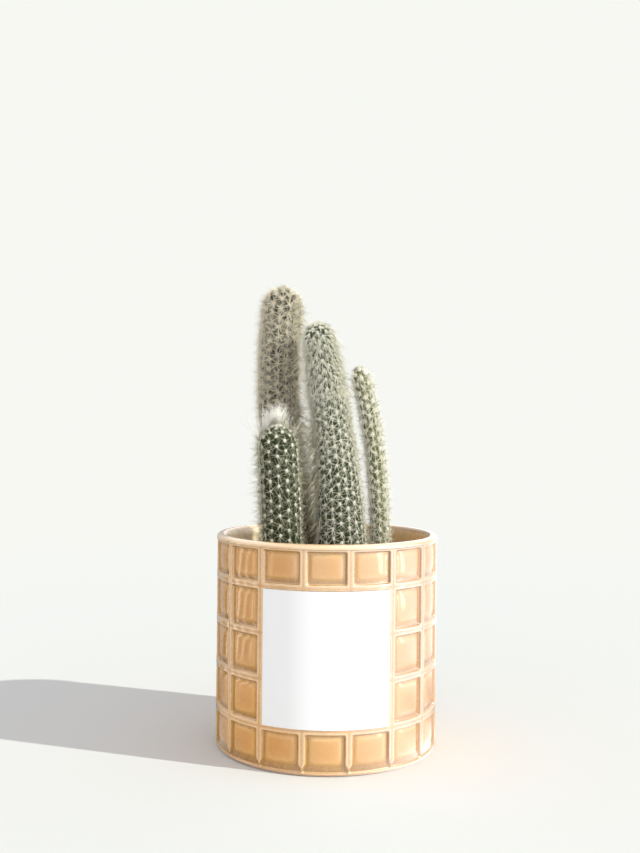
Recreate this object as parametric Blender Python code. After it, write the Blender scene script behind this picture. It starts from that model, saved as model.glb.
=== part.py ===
"""A potted columnar cactus: four ribbed stems with their spines, standing in soil in a ceramic pot
that has a relief of square tiles and a blank paper label.

Metres, +Z up. The origin is on the surface the pot stands on, under the middle of the pot, and the
label faces -Y.
"""

import math
import random
from collections import namedtuple

import bmesh
import bpy
from mathutils import Matrix, Vector

GAP = 0.0003  # between pieces that touch

# Pot: a straight cylinder whose wall is a grid of sunk tiles between raised ribs.
POT_RADIUS = 0.070  # over the crests of the ribs
POT_HEIGHT = 0.1332
TILE_COLUMNS = 16
TILE_ROWS = 5
RIB_WIDTH = 0.0040
LOWEST_CROSS_RIB = 0.0260  # height of the middle of the lowest horizontal rib
CROSS_RIB_STEP = 0.02725
TILE_FOOT = 0.0028  # lower edge of the bottom row of tiles
TILE_HEAD = 0.1290  # upper edge of the top row of tiles
TILE_DEPTH = 0.0018
TILE_SLOPE = 0.0013  # width of the slope round each tile

# Pot's rim, inside and foot.
RIM_RADIUS = 0.0703
RIM_FLAT = (0.0662, 0.0684)
RIM_DROP = (0.0024, 0.0022)  # height of the rim's round, outside and inside
MOUTH_RADIUS = 0.0640
MOUTH_DROP = 0.0060
FLOOR_RADIUS = 0.0625
FLOOR_HEIGHT = 0.0065
FLOOR_ROUND = 0.0030
FOOT_RING = (0.0570, 0.0668)
FOOT_RECESS = 0.0015
FOOT_CORNER = (0.0694, 0.0013)  # radius and height of a point on the round of the foot

# Label: a sheet in a shallow panel, level with the ribs, in the place of three by three tiles.
PANEL_COLUMNS = 3
PANEL_ROWS = (1, 3)  # first and last row of tiles that the panel replaces, counted from the foot
LABEL_SPAN = (0.0270, 0.1064)  # heights of the sheet's lower and upper edge
LABEL_WIDTH = 0.0778
LABEL_THICKNESS = 0.0004
PANEL_DEPTH = POT_RADIUS + GAP + LABEL_THICKNESS - RIM_RADIUS
PANEL_SLOPE = 0.0001

# Soil and the roots that stand in it.
SOIL_LEVEL = 0.1185
SOIL_DIP = 0.0014
SOIL_WAVES = (190, 160)  # radians a metre, along X and Y
SOIL_RINGS = (0.052, 0.036, 0.018)
ROOT_DEPTH = 0.026
ROOT_SHARE = 0.74  # a stem's buried part, as a share of its radius above the soil
ROOT_SIDES = 16

# Stems: the axis is a quadratic curve from the foot, past the knee, to the tip. The crown's spines
# have a length of their own, and a lean below 0 combs the spines downwards.
Stem = namedtuple(
    "Stem", "name foot knee tip ribs pitch foot_radius neck_radius dome skip spine crown_spine lean"
)
STEMS = (
    Stem("stem_tall_back", (-0.0165, 0.0150), (-0.0410, 0.0155, 0.198), (-0.0298, 0.0170, 0.2912),
         14, 0.0060, 0.0121, 0.0116, 0.012, 4, 0.0062, 0.0052, -0.25),
    Stem("stem_tall_middle", (0.0096, -0.0080), (0.0075, -0.0085, 0.190), (-0.0087, -0.0040, 0.2667),
         18, 0.0060, 0.0156, 0.0082, 0.009, 3, 0.0066, 0.0036, -0.85),
    Stem("stem_short_front", (-0.0277, -0.0265), (-0.0285, -0.0270, 0.160), (-0.0318, -0.0275, 0.2012),
         14, 0.0060, 0.0121, 0.0116, 0.013, 5, 0.0056, 0.0095, -0.30),
    Stem("stem_slim_right", (0.0338, 0.0040), (0.0346, 0.0040, 0.185), (0.0193, 0.0060, 0.2387),
         8, 0.0061, 0.0050, 0.0049, 0.007, 5, 0.0044, 0.0040, -0.45),
)
FURROW_SHARE = 0.86  # radius in a furrow, as a share of the radius on a rib
RING_STEP = 0.0105  # height between the rings of a stem's faces
DOME_RINGS = 4
FLARE = (0.0004, 0.0022)  # heights over the soil where a root widens to the ribbed stem
PLUMB_FOOT = 0.012  # height over which a leaning stem's rings turn from level to square with its axis
AXIS_SAMPLES = 80

# Spines: at most one to an areole, each on one side of its rib.
SPINE_RADIUS = 0.00034
SPINE_SUNK = 0.0012
SPINE_OFFSET = 0.0008  # from the rib's edge
SPINE_ROOT_SHARE = 0.96  # radius at which a spine leaves its rib, as a share of the rib's radius
SPINE_SHORTEST = 0.0022
SPINE_CLEARANCE = 0.0012
SPINE_SPREAD = (0.75, 1.25)  # lengths, as shares of the stem's usual one
SPINE_SPLAY = (0.25, 0.75)  # how far to one side, as a share of how far out
LEAN_SPREAD = 0.4
DOME_LIFT = 2.0  # how much more the spines rise at the top of the dome than at its foot
BARE_CROWN = 0.3  # share of the dome that has only the crown's spines
CROWN_SPINES = 7
CROWN_RADIUS = 0.0011
SEED = 4

LOOKS = {  # base colour, then roughness
    "pot": ((0.66, 0.36, 0.12), 0.16),
    "label": ((0.86, 0.86, 0.85), 0.60),
    "soil": ((0.05, 0.035, 0.025), 0.95),
    "stem_tall_back": ((0.35, 0.33, 0.22), 0.70),
    "stem_tall_middle": ((0.27, 0.32, 0.19), 0.65),
    "stem_short_front": ((0.10, 0.15, 0.07), 0.60),
    "stem_slim_right": ((0.33, 0.35, 0.17), 0.65),
}


def clear_scene():
    for obj in list(bpy.data.objects):
        bpy.data.objects.remove(obj, do_unlink=True)


def collection_named(name):
    made = bpy.data.collections.new(name)
    bpy.context.scene.collection.children.link(made)
    return made


def material(name):
    colour, roughness = LOOKS[name]
    made = bpy.data.materials.new(name)
    made.use_nodes = True
    shader = made.node_tree.nodes["Principled BSDF"]
    shader.inputs["Base Color"].default_value = (*colour, 1.0)
    shader.inputs["Roughness"].default_value = roughness
    shader.inputs["Metallic"].default_value = 0.0
    return made


def close_seams(bm):
    """Joins points that coincide, and turns all faces outwards."""
    bmesh.ops.remove_doubles(bm, verts=bm.verts, dist=1e-6)
    bmesh.ops.recalc_face_normals(bm, faces=bm.faces)


def object_from(bm, name, collection):
    """Stores the bmesh as a named object with the material of that name."""
    close_seams(bm)
    mesh = bpy.data.meshes.new(name)
    bm.to_mesh(mesh)
    bm.free()
    mesh.materials.append(material(name))
    mesh.shade_smooth()
    mesh.set_sharp_from_angle(angle=math.radians(30))
    obj = bpy.data.objects.new(name, mesh)
    collection.objects.link(obj)
    return obj


def boolean(obj, operation, others):
    """Joins a collection of solids to obj, or cuts them from it, and applies the result."""
    modifier = obj.modifiers.new("boolean", "BOOLEAN")
    modifier.operation = operation
    modifier.solver = "EXACT"
    modifier.operand_type = "COLLECTION"
    modifier.collection = others
    bpy.context.view_layer.update()
    graph = bpy.context.evaluated_depsgraph_get()
    made = bpy.data.meshes.new_from_object(obj.evaluated_get(graph))
    obj.modifiers.remove(modifier)
    obj.data = made


def cross_rib(index):
    """Height of the middle of a horizontal rib, counted from the foot."""
    return LOWEST_CROSS_RIB + index * CROSS_RIB_STEP


def tile_span(row):
    """Lower and upper edge of a row of tiles."""
    low = TILE_FOOT if row == 0 else cross_rib(row - 1) + RIB_WIDTH / 2
    high = TILE_HEAD if row == TILE_ROWS - 1 else cross_rib(row) - RIB_WIDTH / 2
    return low, high


def tile_half_angle():
    return math.pi / TILE_COLUMNS - RIB_WIDTH / 2 / POT_RADIUS


def panel_half_angle():
    return math.pi * PANEL_COLUMNS / TILE_COLUMNS - RIB_WIDTH / 2 / POT_RADIUS


def panel_span():
    low, high = LABEL_SPAN
    return low - GAP, high + GAP


def wall_angles():
    """Where the pot's facets meet: the two sides and the middle of each column of tiles."""
    half = tile_half_angle()
    steps = range(TILE_COLUMNS)
    return [2 * math.pi * column / TILE_COLUMNS + side for column in steps for side in (-half, 0, half)]


def spun(profile, angles, full_turn):
    """A bmesh of (radius, height) points spun round the Z axis. Angle 0 is the front, at -Y. A part
    turn takes the profile as a closed outline and gets a face at each end."""
    bm = bmesh.new()
    verts = [bm.verts.new((0.0, -radius, height)) for radius, height in profile]
    ends = verts[1:] if full_turn else verts[1:] + verts[:1]
    edges = [bm.edges.new(pair) for pair in zip(verts, ends)]
    turns = [*angles, angles[0] + 2 * math.pi] if full_turn else angles
    bmesh.ops.rotate(bm, verts=verts, cent=(0, 0, 0), matrix=Matrix.Rotation(turns[0], 3, "Z"))
    last = verts + edges
    for before, after in zip(turns, turns[1:]):
        last = bmesh.ops.spin(
            bm, geom=last, cent=(0, 0, 0), axis=(0, 0, 1), angle=after - before, steps=1
        )["geom_last"]
    if not full_turn:
        for end in (edges, [part for part in last if isinstance(part, bmesh.types.BMEdge)]):
            bmesh.ops.edgeloop_fill(bm, edges=end)
    return bm


def pot_profile():
    """The pot's section, from the middle of its underside up the outside and down the inside."""
    foot_in, foot_out = FOOT_RING
    rim_in, rim_out = RIM_FLAT
    drop_out, drop_in = RIM_DROP
    foot = [(0.0, FOOT_RECESS), (foot_in - FOOT_RECESS, FOOT_RECESS), (foot_in, 0.0), (foot_out, 0.0)]
    heights = [height for row in range(TILE_ROWS) for height in tile_span(row)]
    wall = [(POT_RADIUS, height) for height in sorted([*heights, *panel_span()])]
    rim = [
        (RIM_RADIUS, POT_HEIGHT - drop_out),
        (rim_out, POT_HEIGHT),
        (rim_in, POT_HEIGHT),
        ((rim_in + 2 * MOUTH_RADIUS) / 3, POT_HEIGHT - drop_in),
        (MOUTH_RADIUS, POT_HEIGHT - MOUTH_DROP),
    ]
    inside = [
        (FLOOR_RADIUS, FLOOR_HEIGHT + FLOOR_ROUND),
        (FLOOR_RADIUS - FLOOR_ROUND, FLOOR_HEIGHT),
        (0.0, FLOOR_HEIGHT),
    ]
    return [*foot, FOOT_CORNER, *wall, *rim, *inside]


def wall_faces(bm, middle, half, span):
    """The faces on the crests of the pot's wall between two heights, within half of an angle."""
    low, high = span
    found = []
    for face in bm.faces:
        centre = face.calc_center_median()
        aside = math.remainder(math.atan2(centre.x, -centre.y) - middle, 2 * math.pi)
        on_crest = all(abs(math.hypot(vert.co.x, vert.co.y) - POT_RADIUS) < 1e-5 for vert in face.verts)
        if on_crest and abs(aside) < half and low < centre.z < high:
            found.append(face)
    return found


def sink(bm, faces, slope, depth):
    """Sinks a region of faces into the wall, with a slope all round it."""
    bmesh.ops.inset_region(
        bm, faces=faces, thickness=slope, depth=-depth, use_boundary=True, use_even_offset=True
    )


def behind_label(column, row):
    aside = min(column, TILE_COLUMNS - column)
    return aside <= PANEL_COLUMNS // 2 and PANEL_ROWS[0] <= row <= PANEL_ROWS[1]


def make_pot(collection):
    bm = spun(pot_profile(), wall_angles(), full_turn=True)
    close_seams(bm)
    for column in range(TILE_COLUMNS):
        middle = 2 * math.pi * column / TILE_COLUMNS
        for row in range(TILE_ROWS):
            if not behind_label(column, row):
                tile = wall_faces(bm, middle, tile_half_angle(), tile_span(row))
                sink(bm, tile, TILE_SLOPE, TILE_DEPTH)
    sink(bm, wall_faces(bm, 0.0, panel_half_angle(), panel_span()), PANEL_SLOPE, PANEL_DEPTH)
    return object_from(bm, "pot", collection)


def make_label(collection):
    """The sheet follows the panel's own facets, one gap in front of them."""
    half = LABEL_WIDTH / 2 / POT_RADIUS
    low, high = LABEL_SPAN
    outer = RIM_RADIUS
    inner = outer - LABEL_THICKNESS
    outline = [(inner, low), (outer, low), (outer, high), (inner, high)]
    facets = [math.remainder(angle, 2 * math.pi) for angle in wall_angles()]
    angles = sorted([-half, half] + [angle for angle in facets if abs(angle) < half])
    return object_from(spun(outline, angles, full_turn=False), "label", collection)


def mouth_radius(height):
    """Inner radius of the pot at a height between the floor's round and the mouth."""
    low, high = FLOOR_HEIGHT + FLOOR_ROUND, POT_HEIGHT - MOUTH_DROP
    return FLOOR_RADIUS + (MOUTH_RADIUS - FLOOR_RADIUS) * (height - low) / (high - low)


def root_radius(stem):
    return stem.foot_radius * ROOT_SHARE


def root_cutter(stem, collection):
    """The hole in the soil that a root stands in."""
    bpy.ops.mesh.primitive_cylinder_add(
        vertices=ROOT_SIDES,
        radius=(root_radius(stem) + GAP) / math.cos(math.pi / ROOT_SIDES),
        depth=2 * (ROOT_DEPTH + GAP),
        location=(*stem.foot, SOIL_LEVEL),
    )
    cutter = bpy.context.object
    cutter.name = "hole_for_" + stem.name
    cutter.hide_render = True
    cutter.display_type = "WIRE"
    for owner in list(cutter.users_collection):
        owner.objects.unlink(cutter)
    collection.objects.link(cutter)


def make_soil(collection, cutters):
    """The soil fills the pot one gap inside its wall, with an uneven top and a hole for each root."""
    profile = [
        (0.0, FLOOR_HEIGHT + GAP),
        (FLOOR_RADIUS - FLOOR_ROUND - GAP, FLOOR_HEIGHT + GAP),
        (FLOOR_RADIUS - GAP, FLOOR_HEIGHT + FLOOR_ROUND + GAP),
        (mouth_radius(SOIL_LEVEL) - GAP, SOIL_LEVEL - SOIL_DIP),
        *((radius, SOIL_LEVEL) for radius in SOIL_RINGS),
        (0.0, SOIL_LEVEL),
    ]
    bm = spun(profile, wall_angles(), full_turn=True)
    close_seams(bm)
    along_x, along_y = SOIL_WAVES
    for vert in bm.verts:
        if vert.co.z > SOIL_LEVEL - SOIL_DIP / 2:
            wave = math.sin(along_x * vert.co.x) * math.cos(along_y * vert.co.y)
            vert.co.z -= SOIL_DIP * (1 + wave) / 2
    soil = object_from(bm, "soil", collection)
    for stem in STEMS:
        root_cutter(stem, cutters)
    boolean(soil, "DIFFERENCE", cutters)
    return soil


class Axis:
    """A stem's axis, read by the distance along it from the soil. Below the soil it is plumb."""

    def __init__(self, stem):
        self.foot = Vector((*stem.foot, SOIL_LEVEL))
        self.knee = Vector(stem.knee)
        self.tip = Vector(stem.tip)
        self.points = [self.curve(index / AXIS_SAMPLES) for index in range(AXIS_SAMPLES + 1)]
        self.lengths = [0.0]
        for before, after in zip(self.points, self.points[1:]):
            self.lengths.append(self.lengths[-1] + (after - before).length)
        self.length = self.lengths[-1]

    def curve(self, t):
        return self.foot * (1 - t) ** 2 + self.knee * (2 * t * (1 - t)) + self.tip * t**2

    def share(self, distance):
        """The curve's parameter at a distance along it."""
        for index, length in enumerate(self.lengths[1:], start=1):
            if length >= distance:
                before = self.lengths[index - 1]
                return (index - 1 + (distance - before) / (length - before)) / AXIS_SAMPLES
        return 1.0

    def frame(self, distance):
        """Point, direction along the axis, and the two directions across it: right, then back."""
        if distance <= 0:
            point = self.foot + Vector((0, 0, distance))
            return point, Vector((0, 0, 1)), Vector((1, 0, 0)), Vector((0, 1, 0))
        t = self.share(distance)
        along = ((self.knee - self.foot) * (1 - t) + (self.tip - self.knee) * t).normalized()
        plumb = max(0.0, 1 - distance / PLUMB_FOOT)
        along = along.lerp(Vector((0, 0, 1)), plumb).normalized()
        right = Vector((0, 1, 0)).cross(along).normalized()
        return self.curve(t), along, right, along.cross(right)

    def outward(self, distance, angle):
        """The direction straight out from the axis. Angle 0 is the front, at -Y."""
        _, _, right, back = self.frame(distance)
        return right * math.sin(angle) - back * math.cos(angle)


AXES = {stem.name: Axis(stem) for stem in STEMS}


def crest_radius(stem, distance):
    """Radius over the ribs: an even taper from the foot to the neck, and then a round dome."""
    axis = AXES[stem.name]
    distance = min(max(distance, 0.0), axis.length)
    radius = stem.foot_radius + (stem.neck_radius - stem.foot_radius) * distance / axis.length
    into_dome = (distance - (axis.length - stem.dome)) / stem.dome
    return radius * math.sqrt(max(0.0, 1 - into_dome**2)) if into_dome > 0 else radius


def stem_point(stem, distance, angle, radius):
    axis = AXES[stem.name]
    return axis.frame(distance)[0] + axis.outward(distance, angle) * radius


def ring_distances(stem):
    """Distances along the axis at which a stem has a ring of points, above its root."""
    length = AXES[stem.name].length
    straight = length - stem.dome - FLARE[1]
    count = round(straight / RING_STEP)
    body = [FLARE[1] + straight * index / count for index in range(count + 1)]
    climbs = [math.sin(0.5 * math.pi * index / DOME_RINGS) for index in range(1, DOME_RINGS)]
    return body + [length - stem.dome * (1 - climb) for climb in climbs]


def place_ring(ring, spoke, stem, distance, radius, furrow_share):
    """Stands a ring's points on their spokes: the even ones on ribs, the odd ones in furrows."""
    for vert in ring:
        share = furrow_share if vert[spoke] % 2 else 1.0
        angle = math.pi * vert[spoke] / stem.ribs
        vert.co = stem_point(stem, distance, angle, radius * share)


def stem_body(stem):
    """The ribbed column on its plain round root, ring by ring, closed at both ends."""
    bm = bmesh.new()
    spoke = bm.verts.layers.int.new("spoke")
    ring = bmesh.ops.create_circle(bm, segments=2 * stem.ribs, radius=1.0, cap_ends=True)["verts"]
    for index, vert in enumerate(ring):
        vert[spoke] = index
    edges = list(bm.edges)
    place_ring(ring, spoke, stem, -ROOT_DEPTH, root_radius(stem), 1.0)
    rings = [(FLARE[0], root_radius(stem), 1.0)]
    rings += [(distance, crest_radius(stem, distance), FURROW_SHARE) for distance in ring_distances(stem)]
    for distance, radius, furrow_share in rings:
        made = bmesh.ops.extrude_edge_only(bm, edges=edges)["geom"]
        edges = [part for part in made if isinstance(part, bmesh.types.BMEdge)]
        ring = [part for part in made if isinstance(part, bmesh.types.BMVert)]
        place_ring(ring, spoke, stem, distance, radius, furrow_share)
    crown = bmesh.ops.contextual_create(bm, geom=edges)["faces"]
    bmesh.ops.poke(bm, faces=crown)["verts"][0].co = AXES[stem.name].tip
    return bm


def areoles(stem):
    """(rib, distance) of each areole. Those of neighbouring ribs stand half a step apart."""
    length = AXES[stem.name].length
    for rib in range(stem.ribs):
        distance = stem.pitch * (0.75 + 0.5 * (rib % 2))
        while distance < length - stem.dome * BARE_CROWN:
            yield rib, distance
            distance += stem.pitch


def room(stem, point):
    """How far a point is from a stem's surface, or below 0 inside it."""
    axis = AXES[stem.name]
    index = min(range(AXIS_SAMPLES + 1), key=lambda i: (axis.points[i] - point).length_squared)
    return (axis.points[index] - point).length - crest_radius(stem, axis.lengths[index])


def is_free(stem, point):
    """Whether a spine of this stem may reach the point: not into the soil, nor into the part of the
    air that is nearer to another stem."""
    if point.z < SOIL_LEVEL + SPINE_CLEARANCE:
        return False
    own = room(stem, point)
    return all(own < room(other, point) - SPINE_CLEARANCE for other in STEMS if other is not stem)


def spine_mesh():
    """One spine, one metre long, that stands on its root along +Z."""
    bm = bmesh.new()
    bmesh.ops.create_cone(
        bm, cap_ends=True, segments=3, radius1=SPINE_RADIUS, radius2=0.0, depth=1.0,
        matrix=Matrix.Translation((0, 0, 0.5)),
    )
    close_seams(bm)
    mesh = bpy.data.meshes.new("spine")
    bm.to_mesh(mesh)
    bm.free()
    return mesh


def grow_spine(stem, root, direction, length, mesh, collection):
    """Adds a spine, shortened until its point is in free air, or none if that leaves a stub."""
    while length > SPINE_SHORTEST and not is_free(stem, root + direction * length):
        length *= 0.85
    if length < SPINE_SHORTEST:
        return
    start = Matrix.Translation(root - direction * SPINE_SUNK)
    turn = direction.to_track_quat("Z", "Y").to_matrix().to_4x4()
    spine = bpy.data.objects.new("spine", mesh)
    spine.matrix_world = start @ turn @ Matrix.Diagonal((1, 1, length + SPINE_SUNK, 1))
    collection.objects.link(spine)


def spine_direction(stem, distance, angle, side, chance):
    """Out from the rib, leaning down and to one side, and turning upwards over the dome."""
    axis = AXES[stem.name]
    along = axis.frame(distance)[1]
    across = axis.outward(distance, angle + math.pi / 2)
    into_dome = min(max((distance - (axis.length - stem.dome)) / stem.dome, 0.0), 1.0)
    rise = stem.lean + chance.uniform(-LEAN_SPREAD, LEAN_SPREAD) + DOME_LIFT * into_dome
    splay = side * chance.uniform(*SPINE_SPLAY)
    return (axis.outward(distance, angle) + along * rise + across * splay).normalized()


def grow_rib_spines(stem, chance, mesh, collection):
    """A spine at each areole but every skip-th, by turns on the left and the right of its rib."""
    for number, (rib, distance) in enumerate(areoles(stem), start=1):
        if number % stem.skip == 0:
            continue
        side = 1 if number % 2 else -1
        angle = 2 * math.pi * rib / stem.ribs
        radius = crest_radius(stem, distance)
        beside = angle + side * SPINE_OFFSET / radius
        root = stem_point(stem, distance, beside, radius * SPINE_ROOT_SHARE)
        direction = spine_direction(stem, distance, angle, side, chance)
        length = stem.spine * chance.uniform(*SPINE_SPREAD)
        grow_spine(stem, root, direction, length, mesh, collection)


def grow_crown_spines(stem, chance, mesh, collection):
    """A ring of spines that spread from the tip."""
    axis = AXES[stem.name]
    along = axis.frame(axis.length)[1]
    for index in range(CROWN_SPINES):
        out = axis.outward(axis.length, 2 * math.pi * index / CROWN_SPINES)
        direction = (along + out * chance.uniform(0.15, 0.55)).normalized()
        length = stem.crown_spine * chance.uniform(0.8, 1.1)
        grow_spine(stem, axis.tip + out * CROWN_RADIUS, direction, length, mesh, collection)


def make_stem(stem, collection):
    """A stem's body with its spines fused to it."""
    body = object_from(stem_body(stem), stem.name, collection)
    spines = collection_named("spines of " + stem.name)
    mesh = spine_mesh()
    chance = random.Random(f"{SEED} {stem.name}")
    grow_rib_spines(stem, chance, mesh, spines)
    grow_crown_spines(stem, chance, mesh, spines)
    boolean(body, "UNION", spines)
    for spine in list(spines.objects):
        bpy.data.objects.remove(spine, do_unlink=True)
    bpy.data.collections.remove(spines)
    return body


def main():
    clear_scene()
    plant = collection_named("potted columnar cactus")
    cutters = collection_named("cutters")
    make_pot(plant)
    make_label(plant)
    make_soil(plant, cutters)
    for stem in STEMS:
        make_stem(stem, plant)


main()
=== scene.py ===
"""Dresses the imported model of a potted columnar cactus: glazed pot, blank paper label, potting mix,
and four ribbed stems with their wool, spines and hairs.

Metres, +Z up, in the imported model's frame. The label faces -Y.
"""

import math
import random
from collections import namedtuple

import bmesh
import bpy
from mathutils import Euler, Matrix, Vector, noise
from mathutils.kdtree import KDTree


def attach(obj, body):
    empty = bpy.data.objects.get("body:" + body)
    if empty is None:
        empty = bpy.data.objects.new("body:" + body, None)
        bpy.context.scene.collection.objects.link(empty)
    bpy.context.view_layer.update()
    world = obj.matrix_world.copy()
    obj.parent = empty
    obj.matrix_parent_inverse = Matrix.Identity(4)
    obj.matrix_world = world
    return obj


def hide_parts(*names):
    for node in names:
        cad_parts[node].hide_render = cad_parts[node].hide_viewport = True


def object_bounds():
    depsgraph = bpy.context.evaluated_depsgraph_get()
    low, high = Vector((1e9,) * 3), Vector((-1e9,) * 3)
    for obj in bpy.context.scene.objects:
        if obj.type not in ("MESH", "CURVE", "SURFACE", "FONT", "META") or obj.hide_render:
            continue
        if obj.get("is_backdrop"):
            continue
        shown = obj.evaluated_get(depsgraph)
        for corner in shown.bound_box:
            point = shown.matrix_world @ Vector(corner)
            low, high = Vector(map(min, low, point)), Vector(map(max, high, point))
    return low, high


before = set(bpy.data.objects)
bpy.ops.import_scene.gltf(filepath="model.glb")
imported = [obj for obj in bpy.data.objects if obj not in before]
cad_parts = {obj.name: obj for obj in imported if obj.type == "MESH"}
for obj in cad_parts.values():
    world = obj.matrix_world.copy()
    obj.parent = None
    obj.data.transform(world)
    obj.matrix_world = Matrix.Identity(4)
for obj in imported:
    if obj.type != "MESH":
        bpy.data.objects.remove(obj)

CAD_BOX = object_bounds()
MM = 0.001
TURN = 2 * math.pi

# Pot, as in the part's source: a straight wall with a grid of sunk tiles between raised ribs.
POT_RADIUS = 0.070
TILE_COLUMNS = 16
TILE_ROWS = 5
RIB_WIDTH = 0.0040
LOWEST_CROSS_RIB = 0.0260
CROSS_RIB_STEP = 0.02725
TILE_FOOT = 0.0019
TILE_HEAD = 0.1290

# (radius, height) of the points of the pot's section, under and over the wall of tiles.
POT_FOOT = (
    (0.0, 0.0015), (0.0350, 0.0015), (0.0555, 0.0015), (0.0570, 0.0), (0.0580, 0.0), (0.0655, 0.0),
    (0.0672, 0.0001),
)
POT_RIM = (
    (0.0702, 0.1300), (0.0703, 0.1306), (0.0702, 0.1313), (0.0698, 0.1321), (0.0692, 0.1327),
    (0.0684, 0.1331), (0.0676, 0.1332), (0.0666, 0.1332), (0.0658, 0.1329), (0.0650, 0.1322),
    (0.0645, 0.1312), (0.0642, 0.1300), (0.0640, 0.1270), (0.0638, 0.1160), (0.0625, 0.0120),
    (0.0620, 0.0070), (0.0590, 0.0065), (0.0300, 0.0065), (0.0, 0.0065),
)

# The pot's relief, in mm: each tile is a pad in a groove, and the groove is wider under the pad.
SIDE_LINES = (-1.3, -0.6, -0.2, 0.2, 0.6, 1.0, 1.8, 2.5, 3.1, 3.8, 4.8, 6.5, 9.0)  # in from a side
EDGE_LINES = (-1.3, -0.6, -0.2, 0.2, 0.6, 1.0)  # in from an upper or lower edge
PAD_LINES = (-0.5, 0.1, 0.7, 1.5, 3.0, 5.3)  # in from the pad's edge
SIDE_GROOVE, TOP_GROOVE, LOW_GROOVE, FOOT_GROOVE = 1.5, 1.1, 2.8, 4.6
TILE_CORNER, PAD_CORNER = 1.2, 2.5
CREST_DIP = 0.10
GROOVE_DEPTH = 1.6
PAD_RISE, PAD_DOME = 0.45, 0.20
RIB_POINT = 2.0  # how much the ribs narrow on each side where they run out at the foot
RIB_POINT_SPAN = (7.5, 3.0)
FOOT_ROUND_HEIGHT, FOOT_ROUND = 4.0, 1.3

# Where the pot's colour changes, in metres.
UPPER_WALL = 0.1  # over this height, the inside's glaze runs up to the middle of the rim
RIM_MIDDLE = (0.0655, 0.0668)  # radii
INNER_WALL = 0.0646  # radius
LOW_WALL = (0.058, 0.044)  # heights, as all that follow
RIM_TOP = (0.1306, 0.1318)
FOOT_EDGE = (0.0024, 0.0012)
BARE_FOOT = (0.0006, 0.0002)

# Label, and the panel that it lies in.
PANEL_COLUMNS = 3
PANEL_SPAN = (0.0267, 0.1067)
PANEL_DEPTH = 0.4
LABEL_SPAN = (0.0270, 0.1064)
LABEL_WIDTH = 0.0778
LABEL_RADII = (0.0699, 0.0703)
LABEL_STEPS = 60

# Potting mix.
SOIL_LEVEL = 0.1185
SOIL_RADIUS = 0.0635
SOIL_DIP = 0.0016
SOIL_LUMPS = (90, 260)  # how fine the coarse and the fine unevenness of its top are, per metre
SOIL_SIDE = ((0.0, 0.0068), (0.0590, 0.0068), (0.0620, 0.0100), (SOIL_RADIUS, 0.1150))
SOIL_RINGS, SOIL_SIDES = 40, 120

# Loose bits on it: piece, material, count, sizes, how flat, and the dark and the light colour.
BITS = (
    ("bark_crumbs", "bark", 1500, (0.0006, 0.0018), (0.4, 0.9), (0.030, 0.018, 0.010), (0.16, 0.095, 0.05)),
    ("perlite", "perlite", 120, (0.0006, 0.0014), (0.7, 1.0), (0.45, 0.43, 0.40), (0.85, 0.84, 0.80)),
)

# Stems, as in the part's source.
Stem = namedtuple("Stem", "name foot knee tip ribs pitch foot_radius neck_radius dome")
STEMS = (
    Stem("stem_tall_back", (-0.0165, 0.0150), (-0.0410, 0.0155, 0.198), (-0.0298, 0.0170, 0.2912),
         14, 0.0060, 0.0121, 0.0116, 0.012),
    Stem("stem_tall_middle", (0.0096, -0.0080), (0.0075, -0.0085, 0.190), (-0.0087, -0.0040, 0.2667),
         18, 0.0060, 0.0156, 0.0082, 0.009),
    Stem("stem_short_front", (-0.0277, -0.0265), (-0.0285, -0.0270, 0.160), (-0.0318, -0.0275, 0.2012),
         14, 0.0060, 0.0121, 0.0116, 0.013),
    Stem("stem_slim_right", (0.0338, 0.0040), (0.0346, 0.0040, 0.185), (0.0193, 0.0060, 0.2387),
         8, 0.0061, 0.0050, 0.0049, 0.007),
)
FURROW_SHARE = 0.86  # radius in a furrow, as a share of the radius on a rib
RIB_ROUNDNESS = 0.8
POINTS_A_RIB = 6
RINGS_A_PITCH = 4
DOME_RINGS = 7
BARE_TIP = 0.08  # share of the dome, at its top, that the ribs' areoles don't reach
CROWDING = 0.45  # how much closer the areoles stand at the tip
CROWN_RINGS = ((0.965, 2), (0.995, 4))  # how far up the dome, and at every how many ribs
AREOLE_SWELL = 0.0004  # how far a rib swells at an areole
SUNK_FOOT = 0.003  # how far a stem goes down into the soil
PLUMB_FOOT = 0.012  # height over which a leaning stem's rings turn from level to square with its axis
AXIS_SAMPLES = 80

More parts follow.
